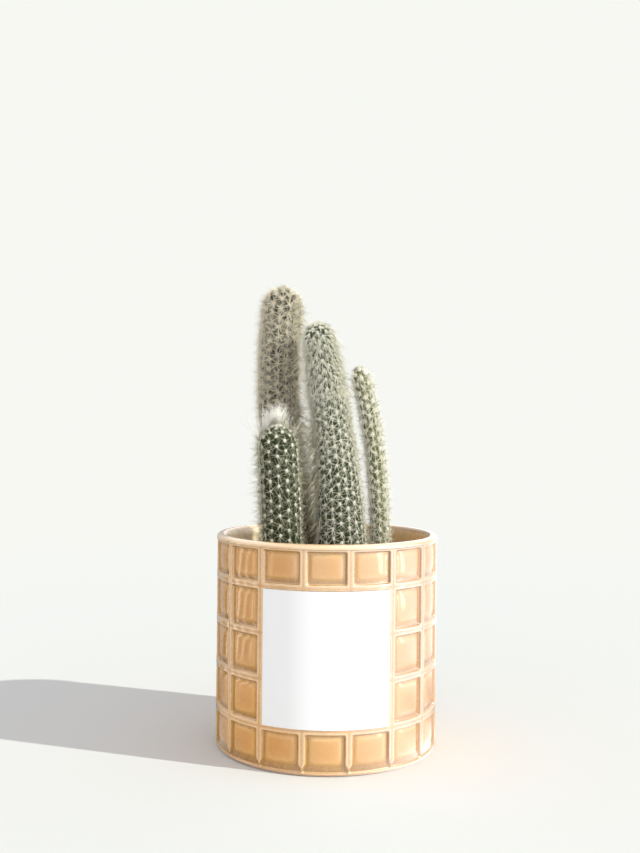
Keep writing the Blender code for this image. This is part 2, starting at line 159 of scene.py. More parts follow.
# Spines and hairs. A coat is what grows at each areole of a stretch and a sector of the stem: tilt is
# the angle from straight out, in degrees; comb draws the coat up or down along the stem, and
# crown_comb does over the dome; curl bends each spine the same way. A sector is a side of the stem,
# in degrees to the right of the front, and how far it goes to both sides of that.
Coat = namedtuple("Coat", "part stretch sector count length width tilt comb crown_comb curl")
ALL_ROUND = (0, 180)
COATS = {
    "stem_tall_back": (
        Coat("spines", (0.0, 1.0), ALL_ROUND, 14, 0.0066, 0.00029, (50, 88), -0.20, 0.35, 0.0),
        Coat("spines", (0.0, 1.0), ALL_ROUND, 10, 0.0048, 0.00028, (10, 65), -0.20, 0.50, 0.1),
        Coat("spines", (0.52, 1.0), ALL_ROUND, 20, 0.0064, 0.00032, (25, 82), -0.10, 0.40, 0.1),
        Coat("hairs", (0.15, 0.55), (92, 50), 8, 0.0150, 0.00038, (10, 60), -0.40, 0.3, 0.25),
        Coat("hairs", (0.55, 0.93), (92, 40), 4, 0.0150, 0.00024, (5, 45), -0.40, 0.3, 0.25),
    ),
    "stem_tall_middle": (
        Coat("spines", (0.0, 0.40), ALL_ROUND, 12, 0.0072, 0.00026, (52, 88), -0.30, -0.3, 0.0),
        Coat("spines", (0.0, 0.40), ALL_ROUND, 5, 0.0050, 0.00026, (10, 70), -0.45, -0.3, 0.1),
        Coat("spines", (0.40, 0.70), ALL_ROUND, 16, 0.0068, 0.00028, (52, 88), -0.25, -0.3, 0.0),
        Coat("spines", (0.40, 0.70), ALL_ROUND, 8, 0.0046, 0.00028, (10, 70), -0.40, -0.3, 0.1),
        Coat("spines", (0.68, 1.0), ALL_ROUND, 19, 0.0078, 0.00030, (25, 82), -0.90, -0.8, 0.25),
        Coat("hairs", (0.10, 0.60), (-92, 45), 8, 0.0165, 0.00038, (10, 55), -0.60, 0.3, 0.25),
        Coat("hairs", (0.60, 0.90), (-92, 38), 3, 0.0150, 0.00026, (5, 45), -0.50, 0.3, 0.25),
    ),
    "stem_short_front": (
        Coat("spines", (0.0, 1.0), ALL_ROUND, 11, 0.0062, 0.00023, (55, 88), -0.15, 0.1, 0.0),
        Coat("spines", (0.0, 1.0), ALL_ROUND, 8, 0.0046, 0.00024, (10, 65), -0.20, 0.3, 0.1),
        Coat("spines", (0.0, 0.97), (-88, 48), 11, 0.0078, 0.00026, (10, 70), 0.10, 0.1, 0.0),
        Coat("hairs", (0.86, 1.0), (-155, 95), 42, 0.0130, 0.00016, (5, 55), 0.9, 1.3, 0.2),
    ),
    "stem_slim_right": (
        Coat("spines", (0.0, 1.0), ALL_ROUND, 18, 0.0056, 0.00034, (45, 88), 0.0, 0.4, 0.0),
        Coat("spines", (0.0, 1.0), ALL_ROUND, 14, 0.0044, 0.00032, (10, 60), 0.2, 0.6, 0.1),
    ),
}
WOOL_SIZE = {"stem_tall_back": 0.0007, "stem_tall_middle": 0.0009,
             "stem_short_front": 0.0009, "stem_slim_right": 0.0012}

# Dark spines: young ones on a crown, and painted shade on the sunlit side of each stem, given by its
# middle in degrees to the right of the front, and on the hairs at the foot, up to a share of the stem's
# length.
DARK_CROWN = {"stem_tall_back": 0.9, "stem_slim_right": 0.8}
PAINTED_SHADE_SIDE, PAINTED_SHADE_SHARE = 95, 0.95
HAIR_SHADE, HAIR_SHADE_HEIGHT = 1.0, 0.65
PALE_TINTS, DARK_TINTS = (0.45, 1.0), (-0.2, 0.55)  # shades of single spines

# How each spine stands.
SIDE_CURL = 0.30  # how far a spine may bend to a side, as a share of its length
SPREAD = (0.45, 1.45)  # lengths, as shares of the coat's usual one
CROWN_TURN = 0.8  # how far the spines turn from out to up over the dome
CROWN_SHRINK = 0.5  # how much shorter the spines are at the tip
LEAST_RISE = 0.08  # a spine that would stand out less than this is lifted off the rib
LIFT = 0.25
ROOT_SPREAD = 0.0007  # how far from the middle of an areole its spines stand
SPINE_SUNK = 0.0004
SPINE_CLEARANCE = 0.0003
SPINE_SHORTEST = 0.0012
SEED = 11

# Colours of the skin: in the furrows, where it is darkened as painted shade, on the ribs and in its
# patches.
SKIN_COLOURS = {
    "stem_tall_back": ((0.018, 0.016, 0.006), (0.055, 0.048, 0.022), (0.08, 0.070, 0.038)),
    "stem_tall_middle": ((0.022, 0.028, 0.011), (0.060, 0.074, 0.034), (0.09, 0.105, 0.055)),
    "stem_short_front": ((0.006, 0.009, 0.003), (0.022, 0.028, 0.009), (0.035, 0.043, 0.015)),
    "stem_slim_right": ((0.060, 0.062, 0.022), (0.19, 0.20, 0.085), (0.26, 0.27, 0.13)),
}

# Colours of the spines and the hairs at the root, along the shaft and at the point.
SPINE_COLOURS = {
    "stem_tall_back": ((0.86, 0.78, 0.62), (0.95, 0.88, 0.72), (0.97, 0.92, 0.80)),
    "stem_tall_middle": ((0.82, 0.80, 0.64), (0.94, 0.93, 0.80), (0.96, 0.95, 0.86)),
    "stem_short_front": ((0.60, 0.59, 0.44), (0.64, 0.63, 0.48), (0.72, 0.71, 0.57)),
    "stem_slim_right": ((0.92, 0.89, 0.74), (0.97, 0.95, 0.82), (0.97, 0.96, 0.86)),
}
HAIR_COLOURS = {
    "stem_tall_back": ((0.60, 0.54, 0.37), (0.82, 0.77, 0.57), (0.94, 0.91, 0.76)),
    "stem_tall_middle": ((0.60, 0.56, 0.40), (0.82, 0.79, 0.61), (0.94, 0.92, 0.78)),
    "stem_short_front": ((0.86, 0.85, 0.76), (0.95, 0.94, 0.88), (0.97, 0.96, 0.92)),
}


# Node helpers

def add(tree, kind, inputs=None, **settings):
    """Adds a shader node. An input takes a value, or another node's output to be joined to it."""
    node = tree.nodes.new("ShaderNode" + kind)
    for key, value in settings.items():
        setattr(node, key, value)
    for key, value in (inputs or {}).items():
        feed(tree, node.inputs[key], value)
    return node


def feed(tree, socket, value):
    if isinstance(value, bpy.types.NodeSocket):
        tree.links.new(value, socket)
    elif socket.type == "RGBA" and len(value) == 3:
        socket.default_value = (*value, 1.0)
    else:
        socket.default_value = value


def maths(tree, operation, *values, clamp=False):
    inputs = dict(enumerate(values))
    return add(tree, "Math", inputs, operation=operation, use_clamp=clamp).outputs[0]


def blend(tree, factor, first, second):
    return add(tree, "Mix", {0: factor, 2: first, 3: second}, data_type="FLOAT").outputs[0]


def ease(tree, value, low, high):
    """0 below low, 1 above high, and a smooth step between."""
    node = add(tree, "MapRange", {"Value": value, "From Min": low, "From Max": high},
               interpolation_type="SMOOTHSTEP")
    return node.outputs["Result"]


def share_between(tree, value, low, high):
    """0 below low, 1 above high, and evenly from one to the other between."""
    node = add(tree, "MapRange", {"Value": value, "From Min": low, "From Max": high})
    return node.outputs["Result"]


def ramp(tree, factor, *stops):
    """A colour for each place along the factor: stops are (place, colour)."""
    node = add(tree, "ValToRGB", {"Fac": factor})
    bar = node.color_ramp
    bar.interpolation = "EASE"
    while len(bar.elements) < len(stops):
        bar.elements.new(1.0)
    for element, (place, colour) in zip(bar.elements, stops):
        element.position = place
        element.color = (*colour, 1.0)
    return node.outputs["Color"]


def blend_colours(tree, factor, first, second, how="MIX"):
    node = add(tree, "Mix", data_type="RGBA", blend_type=how)
    feed(tree, node.inputs[0], factor)
    feed(tree, node.inputs[6], first)
    feed(tree, node.inputs[7], second)
    return node.outputs[2]


def group(name, inputs, outputs):
    """A node group with named numbers as inputs and with named outputs, and its two end nodes."""
    tree = bpy.data.node_groups.new(name, "ShaderNodeTree")
    for socket, value in inputs.items():
        made = tree.interface.new_socket(socket, in_out="INPUT", socket_type="NodeSocketFloat")
        made.default_value = value
    for socket, kind in outputs.items():
        tree.interface.new_socket(socket, in_out="OUTPUT", socket_type="NodeSocket" + kind)
    return tree, tree.nodes.new("NodeGroupInput"), tree.nodes.new("NodeGroupOutput")


def use(tree, made, **inputs):
    node = add(tree, "Group", node_tree=made)
    for key, value in inputs.items():
        feed(tree, node.inputs[key], value)
    return node


def new_material(name):
    """A material with its node tree and its Principled shader."""
    made = bpy.data.materials.new(name)
    made.use_nodes = True
    return made, made.node_tree, made.node_tree.nodes["Principled BSDF"]


def bump(tree, shader, height, distance, strength=1.0):
    node = add(tree, "Bump", {"Height": height, "Distance": distance, "Strength": strength})
    tree.links.new(node.outputs["Normal"], shader.inputs["Normal"])


# Shared effects

def mottle_group():
    """Cloudy patches of a given size in metres, with finer patches in them, from 0 to 1."""
    tree, ends, out = group("mottle", {"Size": 0.01, "Detail": 3.0, "Contrast": 1.0}, {"Mask": "Float"})
    coordinates = add(tree, "TexCoord").outputs["Object"]
    scale = maths(tree, "DIVIDE", 1.0, ends.outputs["Size"])
    detail = ends.outputs["Detail"]
    clouds = add(tree, "TexNoise", {"Vector": coordinates, "Scale": scale, "Detail": detail})
    centred = maths(tree, "SUBTRACT", clouds.outputs[0], 0.5)
    raised = maths(tree, "MULTIPLY_ADD", centred, ends.outputs["Contrast"], 0.5, clamp=True)
    tree.links.new(raised, out.inputs["Mask"])
    return tree


MOTTLE = mottle_group()


def mottle(tree, size, detail=3.0, contrast=1.0):
    return use(tree, MOTTLE, Size=size, Detail=detail, Contrast=contrast).outputs["Mask"]


# Materials

def read(tree, name):
    """A value stored on a piece's points."""
    return add(tree, "Attribute", attribute_name=name).outputs["Fac"]


def glaze():
    """Honey glaze: pale where it is thin, along the ribs' edges, on the rim and inside, dark in the
    grooves, and speckled where it pools under a pad. Outside it carries painted light and shade,
    lighter at the left and darker towards the sunlit right, and it is paler low down. Inside and on the
    rim it carries painted light at the left and painted shade at the right. The bare clay shows under
    the foot."""
    made, tree, shader = new_material("honey glaze")
    wander = maths(tree, "MULTIPLY_ADD", mottle(tree, 0.004, 4.0, 2.0), 0.4, -0.2)
    edge = maths(tree, "ADD", read(tree, "edge"), wander)
    pad = maths(tree, "ADD", read(tree, "pad"), wander)
    ribs = ramp(
        tree, share_between(tree, edge, -2.4, 1.6),
        (0.00, (0.58, 0.31, 0.12)), (0.20, (0.62, 0.34, 0.14)), (0.34, (0.76, 0.51, 0.28)),
        (0.52, (0.70, 0.43, 0.20)), (0.64, (0.43, 0.205, 0.018)), (1.00, (0.29, 0.125, 0.004)),
    )
    pool = blend_colours(tree, mottle(tree, 0.0010, 3.0, 2.6), (0.29, 0.125, 0.012), (0.50, 0.25, 0.055))
    grooves = blend_colours(tree, read(tree, "pool"), ribs, pool)
    pads = ramp(
        tree, share_between(tree, pad, -1.0, 8.0),
        (0.00, (0.35, 0.155, 0.008)), (0.13, (0.50, 0.235, 0.024)), (0.30, (0.66, 0.335, 0.085)),
        (0.55, (0.62, 0.29, 0.062)), (1.00, (0.59, 0.27, 0.052)),
    )
    walls = blend_colours(tree, ease(tree, pad, -1.2, -0.2), grooves, pads)
    place = add(tree, "SeparateXYZ", {0: add(tree, "TexCoord").outputs["Object"]}).outputs
    to_the_right, height = share_between(tree, place[0], -POT_RADIUS, POT_RADIUS), place[2]
    # painted light and shade: the outside is lighter at the left and darker towards the sunlit right
    painted_glaze_shade = ramp(
        tree, to_the_right,
        (0.00, (1.05, 1.06, 1.0)), (0.28, (1.01, 1.01, 1.0)), (0.50, (0.92, 0.98, 1.02)),
        (0.69, (0.83, 0.84, 1.0)), (0.87, (0.78, 0.72, 1.0)), (1.00, (0.74, 0.66, 0.50)),
    )
    walls = blend_colours(tree, 1.0, walls, painted_glaze_shade, "MULTIPLY")
    # painted light and shade inside the pot: lighter at the left, darker and deeper in colour at the right
    inside = ramp(
        tree, to_the_right,
        (0.0, (1.0, 0.84, 0.58)), (0.5, (0.97, 0.72, 0.40)), (1.0, (0.84, 0.52, 0.22)),
    )
    colour = blend_colours(tree, read(tree, "outside"), inside, walls)
    patches = blend_colours(tree, mottle(tree, 0.02, 3.0, 1.5), (0.88, 0.86, 0.82), (1.00, 1.00, 1.01))
    colour = blend_colours(tree, 1.0, colour, patches, "MULTIPLY")
    low = blend_colours(tree, ease(tree, height, *LOW_WALL), (1.0, 1.0, 1.0), (1.10, 1.10, 1.08))
    colour = blend_colours(tree, 1.0, colour, low, "MULTIPLY")
    # painted light and shade on the rim: lighter at the left, darker towards the sunlit right
    rim = ramp(
        tree, to_the_right,
        (0.0, (0.90, 0.66, 0.42)), (0.5, (0.64, 0.40, 0.20)), (1.0, (0.44, 0.26, 0.12)),
    )
    colour = blend_colours(tree, ease(tree, height, *RIM_TOP), colour, rim)
    colour = blend_colours(tree, ease(tree, height, *FOOT_EDGE), colour, (0.46, 0.22, 0.06))
    bare = ease(tree, height, *BARE_FOOT)
    colour = blend_colours(tree, bare, colour, (0.62, 0.48, 0.36))
    feed(tree, shader.inputs["Base Color"], colour)
    rough = maths(tree, "MULTIPLY_ADD", mottle(tree, 0.004, 3.0, 1.5), 0.14, 0.20)
    rough = maths(tree, "MAXIMUM", rough, maths(tree, "MULTIPLY", bare, 0.8))
    feed(tree, shader.inputs["Roughness"], rough)
    gloss = maths(tree, "MULTIPLY_ADD", read(tree, "outside"), 0.75, 0.25)
    gloss = maths(tree, "MULTIPLY", gloss, maths(tree, "SUBTRACT", 1.0, bare))
    feed(tree, shader.inputs["Coat Weight"], gloss)
    shader.inputs["Coat Roughness"].default_value = 0.05
    shader.inputs["Coat IOR"].default_value = 1.6
    ripple = maths(tree, "MULTIPLY_ADD", mottle(tree, 0.0016, 2.0), 0.08, mottle(tree, 0.009, 2.0))
    bump(tree, shader, ripple, 0.0005, 0.6)
    return made


def paper():
    made, tree, shader = new_material("label paper")
    fibres = mottle(tree, 0.0008, 6.0, 1.4)
    colour = blend_colours(tree, fibres, (0.80, 0.803, 0.800), (0.83, 0.833, 0.830))
    feed(tree, shader.inputs["Base Color"], colour)
    feed(tree, shader.inputs["Roughness"], maths(tree, "MULTIPLY_ADD", fibres, 0.15, 0.55))
    bump(tree, shader, fibres, 0.00003, 0.5)
    return made


def potting_mix():
    made, tree, shader = new_material("potting mix")
    lumps = mottle(tree, 0.003, 8.0, 2.2)
    colour = blend_colours(tree, lumps, (0.018, 0.011, 0.007), (0.095, 0.058, 0.034))
    feed(tree, shader.inputs["Base Color"], colour)
    feed(tree, shader.inputs["Roughness"], maths(tree, "MULTIPLY_ADD", lumps, -0.15, 0.98))
    bump(tree, shader, lumps, 0.0012)
    return made


def grit(name, dark, light):
    """Loose bits on the soil, each with its own shade from the tint stored on it."""
    made, tree, shader = new_material(name)
    colour = blend_colours(tree, read(tree, "tint"), dark, light)
    pores = mottle(tree, 0.0006, 3.0, 2.0)
    colour = blend_colours(tree, maths(tree, "MULTIPLY", pores, 0.35), colour, dark)
    feed(tree, shader.inputs["Base Color"], colour)
    feed(tree, shader.inputs["Roughness"], maths(tree, "MULTIPLY_ADD", pores, 0.1, 0.85))
    bump(tree, shader, pores, 0.0002)
    return made


def skin(name, shaded_furrow, rib, patch):
    """Waxy skin, with painted shade darkening it in the furrows, and with paler patches."""
    made, tree, shader = new_material(name)
    colour = blend_colours(tree, read(tree, "crest"), shaded_furrow, rib)
    patches = maths(tree, "MULTIPLY", mottle(tree, 0.003, 4.0, 2.0), 0.5)
    colour = blend_colours(tree, patches, colour, patch)
    feed(tree, shader.inputs["Base Color"], colour)
    feed(tree, shader.inputs["Roughness"], maths(tree, "MULTIPLY_ADD", mottle(tree, 0.001), 0.2, 0.45))
    shader.inputs["Specular IOR Level"].default_value = 0.15
    bump(tree, shader, mottle(tree, 0.0008, 2.0), 0.0001)
    return made


def spine_finish(name, root, shaft, point):
    """Horn-like spines: the colour runs from the root along the shaft to the point, and each has its
    own shade from the tint stored on it. The tint also carries painted shade on the sunlit side of each
    stem and on the hairs low down."""
    made, tree, shader = new_material(name)
    tint = read(tree, "tint")
    colour = ramp(tree, read(tree, "along"), (0.0, root), (0.3, shaft), (1.0, point))
    shade = ramp(
        tree, tint, (0.0, (0.31, 0.28, 0.20)), (0.3, (0.80, 0.78, 0.70)), (1.0, (1.05, 1.05, 1.05))
    )
    feed(tree, shader.inputs["Base Color"], blend_colours(tree, 1.0, colour, shade, "MULTIPLY"))
    feed(tree, shader.inputs["Roughness"], maths(tree, "MULTIPLY_ADD", tint, 0.2, 0.35))
    return made


def wool_finish():
    made, tree, shader = new_material("areole wool")
    tufts = mottle(tree, 0.0004, 3.0, 1.6)
    colour = blend_colours(tree, tufts, (0.74, 0.70, 0.58), (0.94, 0.93, 0.86))
    feed(tree, shader.inputs["Base Color"], colour)
    feed(tree, shader.inputs["Roughness"], maths(tree, "MULTIPLY_ADD", tufts, 0.1, 0.85))
    shader.inputs["Sheen Weight"].default_value = 0.3
    bump(tree, shader, tufts, 0.0002)
    return made


# Making pieces

def piece(bm, name, made, slot, replaced=None):
    """Stores a bmesh as a piece that rides on the root body."""
    mesh = bpy.data.meshes.new(name)
    bm.to_mesh(mesh)
    bm.free()
    mesh.materials.append(made)
    mesh.shade_smooth()
    obj = bpy.data.objects.new(name, mesh)
    bpy.context.scene.collection.objects.link(obj)
    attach(obj, "root")
    if replaced:
        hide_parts(replaced)
    return obj


def close_seams(bm):
    bmesh.ops.remove_doubles(bm, verts=bm.verts, dist=1e-6)
    bmesh.ops.recalc_face_normals(bm, faces=bm.faces)


def spun(profile, angles, full_turn):
    """A bmesh of (radius, height) points spun round the Z axis. Angle 0 is the front, at -Y. A part
    turn takes the profile as a closed outline and gets a face at each end."""
    bm = bmesh.new()
    verts = [bm.verts.new((0.0, -radius, height)) for radius, height in profile]
    ends = verts[1:] if full_turn else verts[1:] + verts[:1]
    edges = [bm.edges.new(pair) for pair in zip(verts, ends)]
    turns = [*angles, angles[0] + TURN] if full_turn else angles
    bmesh.ops.rotate(bm, verts=verts, cent=(0, 0, 0), matrix=Matrix.Rotation(turns[0], 3, "Z"))
    last = verts + edges
    for before, after in zip(turns, turns[1:]):
        last = bmesh.ops.spin(
            bm, geom=last, cent=(0, 0, 0), axis=(0, 0, 1), angle=after - before, steps=1
        )["geom_last"]
    if not full_turn:
        for end in (edges, [part for part in last if isinstance(part, bmesh.types.BMEdge)]):
            bmesh.ops.edgeloop_fill(bm, edges=end)
    close_seams(bm)
    return bm


# Pot

def cross_rib(index):
    return LOWEST_CROSS_RIB + index * CROSS_RIB_STEP


def tile_span(row):
    """Lower and upper edge of a row of tiles."""
    low = TILE_FOOT if row == 0 else cross_rib(row - 1) + RIB_WIDTH / 2
    high = TILE_HEAD if row == TILE_ROWS - 1 else cross_rib(row) - RIB_WIDTH / 2
    return low, high


def tile_half_angle():
    return math.pi / TILE_COLUMNS - RIB_WIDTH / 2 / POT_RADIUS


def steps_between(low, high, count):
    return [low + (high - low) * index / count for index in range(count + 1)]


def step(value, low, high):
    """0 at low, 1 at high, and a smooth step between."""
    share = min(max((value - low) / (high - low), 0.0), 1.0)
    return share * share * (3 - 2 * share)


def smooth_min(first, second, width):
    overlap = max(width - abs(first - second), 0.0) / width
    return min(first, second) - overlap * overlap * width / 4


def low_groove(row):
    return FOOT_GROOVE if row == 0 else LOW_GROOVE


def wall_angles():
    """Where the faces of the pot's wall meet, close together at the tiles' sides."""
    arcs = [tile_half_angle() - line * MM / POT_RADIUS for line in SIDE_LINES]
    sides = [*(-arc for arc in arcs), 0.0, *reversed(arcs), math.pi / TILE_COLUMNS]
    return [TURN * column / TILE_COLUMNS + side for column in range(TILE_COLUMNS) for side in sides]


def wall_heights():
    """Where the faces of the pot's wall meet, close together at the tiles' edges and the panel's."""
    heights = [cross_rib(index) for index in range(TILE_ROWS - 1)]
    for row in range(TILE_ROWS):
        low, high = tile_span(row)
        groove = low_groove(row)
        lows = [*EDGE_LINES, groove * 0.55, *(groove + line for line in PAD_LINES)]
        highs = [*EDGE_LINES, *(TOP_GROOVE + line for line in PAD_LINES if line > 0)]
        heights += [low + line * MM for line in lows] + [high - line * MM for line in highs]
        heights.append((low + high) / 2)
    heights += [edge + line * MM for edge in PANEL_SPAN for line in (-0.1, 0.1)]
    apart = []
    for height in sorted(heights):
        if not apart or height - apart[-1] > 0.00008:
            apart.append(height)
    return apart


def behind_label(turn, height):
    low, high = PANEL_SPAN
    half = math.pi * PANEL_COLUMNS / TILE_COLUMNS - RIB_WIDTH / 2 / POT_RADIUS
    return abs(math.remainder(turn, TURN)) < half and low < height < high


def in_tile(turn, height):
    """Distances in mm, of a point on the pot's wall: in from its tile's edge, in from the pad's edge,
    and how far it lies in the pool under the pad, from 0 to 1."""
    row = min(max(int((height - cross_rib(-1)) / CROSS_RIB_STEP), 0), TILE_ROWS - 1)
    low, high = (height - tile_span(row)[0]) / MM, (tile_span(row)[1] - height) / MM
    aside = abs(math.remainder(turn, TURN / TILE_COLUMNS)) * POT_RADIUS / MM
    half = tile_half_angle() * POT_RADIUS / MM + RIB_POINT * step(height / MM, *RIB_POINT_SPAN)
    edge = smooth_min(smooth_min(half - aside, low, TILE_CORNER), high, TILE_CORNER)
    over = low - low_groove(row)
    pad = smooth_min(half - aside - SIDE_GROOVE, over, PAD_CORNER)
    pad = smooth_min(pad, high - TOP_GROOVE, PAD_CORNER)
    pool = step(low, 0.6, 1.4) * step(over, 0.4, -0.4) * step(half - aside, 1.2, 2.4)
    return edge, pad, pool


def relief(edge, pad):
    """How far a point of the pot's wall is raised over the ribs' crests, in mm."""
    dip = CREST_DIP * step(edge, -0.8, -2.0) + GROOVE_DEPTH * step(edge, -0.3, 0.7)
    return PAD_RISE * step(pad, -0.6, 2.2) + PAD_DOME * step(pad, 0.0, 9.0) - dip


def make_pot():
    heights = wall_heights()
    bm = spun([*POT_FOOT, *((POT_RADIUS, height) for height in heights), *POT_RIM], wall_angles(), True)
    edges, pads, pools, outsides = (
        bm.verts.layers.float.new(name) for name in ("edge", "pad", "pool", "outside")
    )
    for vert in bm.verts:
        radius, height = math.hypot(vert.co.x, vert.co.y), vert.co.z
        vert[edges], vert[pads], vert[pools] = -1.0, -9.0, 0.0
        vert[outsides] = step(radius, *RIM_MIDDLE) if height > UPPER_WALL else float(radius > INNER_WALL)
        if abs(radius - POT_RADIUS) > 1e-5 or not heights[0] - 1e-5 < height < heights[-1] + 1e-5:
            continue
        turn = math.atan2(vert.co.x, -vert.co.y)
        rise = -PANEL_DEPTH
        if not behind_label(turn, height):
            edge, pad, pool = in_tile(turn, height)
            vert[edges], vert[pads], vert[pools] = edge, pad, pool
            rise = relief(edge, pad)
        under = max(FOOT_ROUND_HEIGHT - height / MM, 0.0) / FOOT_ROUND_HEIGHT
        share = 1 + (rise - FOOT_ROUND * under**2) * MM / POT_RADIUS
        vert.co.x, vert.co.y = vert.co.x * share, vert.co.y * share
    return piece(bm, "glazed_pot", glaze(), "pot", "pot")


# Label

def make_label():
    inner, outer = LABEL_RADII
    low, high = LABEL_SPAN
    half = LABEL_WIDTH / 2 / POT_RADIUS
    outline = [(inner, low), (outer, low), (outer, high), (inner, high)]
    bm = spun(outline, steps_between(-half, half, LABEL_STEPS), full_turn=False)
    label = piece(bm, "paper_label", paper(), "label", "label")
    label.data.set_sharp_from_angle(angle=math.radians(30))
    return label


# Potting mix

def soil_height(x, y):
    """The uneven top of the potting mix."""
    coarse, fine = SOIL_LUMPS
    rough = noise.noise(Vector((x, y, 0.0)) * coarse) + 0.5 * noise.noise(Vector((x, y, 3.0)) * fine)
    return SOIL_LEVEL - SOIL_DIP * (0.6 - 0.45 * rough)


def make_soil():
    top = [(SOIL_RADIUS * (1 - index / SOIL_RINGS), SOIL_LEVEL) for index in range(SOIL_RINGS)]
    profile = [*SOIL_SIDE, *top, (0.0, SOIL_LEVEL)]
    bm = spun(profile, steps_between(0.0, TURN, SOIL_SIDES)[:-1], full_turn=True)
    for vert in bm.verts:
        if vert.co.z > SOIL_LEVEL - 1e-5:
            vert.co.z = soil_height(vert.co.x, vert.co.y)
    return piece(bm, "soil_bed", potting_mix(), "soil", "soil")


def scatter(name, made, count, sizes, flatness, chance):
    """Strews bits over the potting mix, clear of the stems."""
    template = template_mesh("bit", bead_shape)
    tint = template.attributes.new("tint", "FLOAT", "POINT")
    bm = bmesh.new()
    placed = 0
    while placed < count:
        reach, angle = (SOIL_RADIUS - 0.0015) * math.sqrt(chance.random()), chance.uniform(0, TURN)
        x, y = reach * math.cos(angle), reach * math.sin(angle)
        size = chance.uniform(*sizes)
        if any(math.dist((x, y), stem.foot) < stem.foot_radius * 0.95 + size for stem in STEMS):
            continue
        shape = Matrix.Diagonal((size, size * chance.uniform(0.6, 1), size * chance.uniform(*flatness), 1))
        turn = Euler([chance.uniform(0, TURN) for _ in range(3)]).to_matrix().to_4x4()
        place = Matrix.Translation((x, y, soil_height(x, y) + size * chance.uniform(0.0, 0.4)))
        tint.data.foreach_set("value", [chance.random()] * len(template.vertices))
        grow(bm, template, place @ turn @ shape)
        placed += 1
    return piece(bm, name, made, "soil")


# Stems

class Axis:
    """A stem's axis, read by the distance along it from the soil. Below the soil it is plumb."""

    def __init__(self, stem):
        self.foot = Vector((*stem.foot, SOIL_LEVEL))
        self.knee = Vector(stem.knee)
        self.tip = Vector(stem.tip)
        self.points = [self.curve(index / AXIS_SAMPLES) for index in range(AXIS_SAMPLES + 1)]
        self.lengths = [0.0]
        for before, after in zip(self.points, self.points[1:]):
            self.lengths.append(self.lengths[-1] + (after - before).length)
        self.length = self.lengths[-1]
        self.near = KDTree(len(self.points))
        for index, point in enumerate(self.points):
            self.near.insert(point, index)
        self.near.balance()

    def curve(self, t):
        return self.foot * (1 - t) ** 2 + self.knee * (2 * t * (1 - t)) + self.tip * t**2

    def share(self, distance):
        """The curve's parameter at a distance along it."""
        for index, length in enumerate(self.lengths[1:], start=1):
            if length >= distance:
                before = self.lengths[index - 1]
                return (index - 1 + (distance - before) / (length - before)) / AXIS_SAMPLES
        return 1.0

    def frame(self, distance):
        """Point, direction along the axis, and the two directions across it: right, then back."""
        if distance <= 0:
            point = self.foot + Vector((0, 0, distance))
            return point, Vector((0, 0, 1)), Vector((1, 0, 0)), Vector((0, 1, 0))
        t = self.share(distance)
        along = ((self.knee - self.foot) * (1 - t) + (self.tip - self.knee) * t).normalized()
        plumb = max(0.0, 1 - distance / PLUMB_FOOT)
        along = along.lerp(Vector((0, 0, 1)), plumb).normalized()
        right = Vector((0, 1, 0)).cross(along).normalized()
        return self.curve(t), along, right, along.cross(right)

    def outward(self, distance, angle):
        """The direction straight out from the axis. Angle 0 is the front, at -Y."""
        _, _, right, back = self.frame(distance)
        return right * math.sin(angle) - back * math.cos(angle)


AXES = {stem.name: Axis(stem) for stem in STEMS}


def crest_radius(stem, distance):
    """Radius over the ribs: an even taper from the foot to the neck, and then a round dome."""
    axis = AXES[stem.name]
    distance = min(max(distance, 0.0), axis.length)
    radius = stem.foot_radius + (stem.neck_radius - stem.foot_radius) * distance / axis.length
    into_dome = (distance - (axis.length - stem.dome)) / stem.dome
    return radius * math.sqrt(max(0.0, 1 - into_dome**2)) if into_dome > 0 else radius


def stem_point(stem, distance, angle, radius):
    axis = AXES[stem.name]
    return axis.frame(distance)[0] + axis.outward(distance, angle) * radius


def dome_share(stem, distance):
    """0 below the dome, and 1 at the tip."""
    axis = AXES[stem.name]
    return min(max((distance - (axis.length - stem.dome)) / stem.dome, 0.0), 1.0)


def ring_distances(stem):
    length = AXES[stem.name].length
    straight = length - stem.dome + SUNK_FOOT
    count = round(straight / stem.pitch * RINGS_A_PITCH)
    body = [-SUNK_FOOT + straight * index / count for index in range(count + 1)]
    climbs = [math.sin(0.5 * math.pi * index / DOME_RINGS) for index in range(1, DOME_RINGS)]
    return body + [length - stem.dome * (1 - climb) for climb in climbs]


def first_areole(rib):
    """Where a rib's lowest areole is, in steps. Those of neighbouring ribs stand half a step apart."""
    return 0.75 + 0.5 * (rib % 2)


def rib_wave(stem, angle):
    """1 on a rib and 0 in a furrow."""
    return (0.5 + 0.5 * math.cos(angle * stem.ribs)) ** RIB_ROUNDNESS


def place_ring(ring, crest, spoke, stem, distance):
    radius = crest_radius(stem, distance)
    count = stem.ribs * POINTS_A_RIB
    for vert in ring:
        angle = TURN * vert[spoke] / count
        wave = rib_wave(stem, angle)
        rib = round(vert[spoke] / POINTS_A_RIB) % stem.ribs
        phase = distance / stem.pitch - first_areole(rib)
        swell = AREOLE_SWELL * math.cos(TURN * phase) * wave**2 * (1 - dome_share(stem, distance))
        vert[crest] = wave
        share = FURROW_SHARE + (1 - FURROW_SHARE) * wave
        vert.co = stem_point(stem, distance, angle, radius * share + swell)


